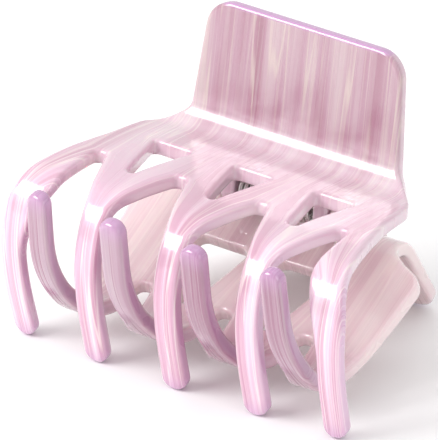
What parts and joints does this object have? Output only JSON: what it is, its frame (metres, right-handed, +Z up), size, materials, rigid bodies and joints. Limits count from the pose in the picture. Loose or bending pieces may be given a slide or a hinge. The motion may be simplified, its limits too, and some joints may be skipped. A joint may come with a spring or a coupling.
{
  "type": "claw clip",
  "caption": "Spring-closed hair claw: two arched jaws of interlocking curved teeth on a central hinge pin, with flat thumb handles.",
  "frame": {"origin": "on the surface that the clip lies on, under the middle of its box", "axes": "+X along the hinge and across the teeth, -Y towards the teeth, +Y towards the handles, +Z up"},
  "size_m": [0.0802, 0.0718, 0.0623],
  "materials": {
    "pearl_plastic": "polished, pearly lilac and rose streaks",
    "pearl_plastic_rear": "polished, pearly lilac and rose streaks",
    "pin_steel": "bright nickel",
    "spring_steel": "drawn wire, bright"
  },
  "bodies": {
    "front_half": {"front_jaw": "pearl_plastic", "hinge_pin": "pin_steel", "torsion_spring": "spring_steel"},
    "rear_half": {"rear_jaw": "pearl_plastic_rear"}
  },
  "joints": [
    {"name": "jaw_hinge", "type": "hinge", "parent": "front_half", "child": "rear_half", "pos_m": [0, 0.01094, 0.02739], "axis": [1, 0, 0], "range_deg": [0, 60], "stiffness_Nm_per_rad": 0.15, "springref_deg": -45.84, "deforming": ["torsion_spring"]}
  ]
}
